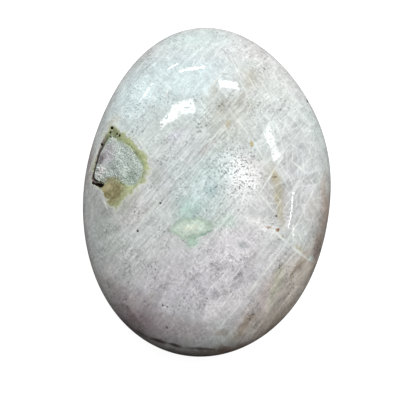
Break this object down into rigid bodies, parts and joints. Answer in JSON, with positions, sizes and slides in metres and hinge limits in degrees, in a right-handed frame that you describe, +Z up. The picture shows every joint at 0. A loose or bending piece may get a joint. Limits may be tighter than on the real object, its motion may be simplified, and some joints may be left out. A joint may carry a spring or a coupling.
{
  "type": "palm stone",
  "caption": "Polished flattened egg-shaped stone to hold in the palm, with an unpolished pit of fine crystals in its upper left and a small flat underneath.",
  "frame": {"origin": "middle of the small flat that the stone rests on, straight below the middle of its outline", "axes": "+Z up from the flat, +Y along the length towards the narrow end, +X across the width, away from the crystal pit"},
  "size_m": [0.0482, 0.065, 0.0211],
  "materials": {
    "polished_stone": "polished, pale grey-green and lilac-grey with aqua and olive patches, fine white veins",
    "druse": "rough crust of fine glassy crystals, pale sage green"
  },
  "bodies": {
    "root": {"stone": "polished_stone", "druzy_crust": "druse"}
  },
  "joints": []
}
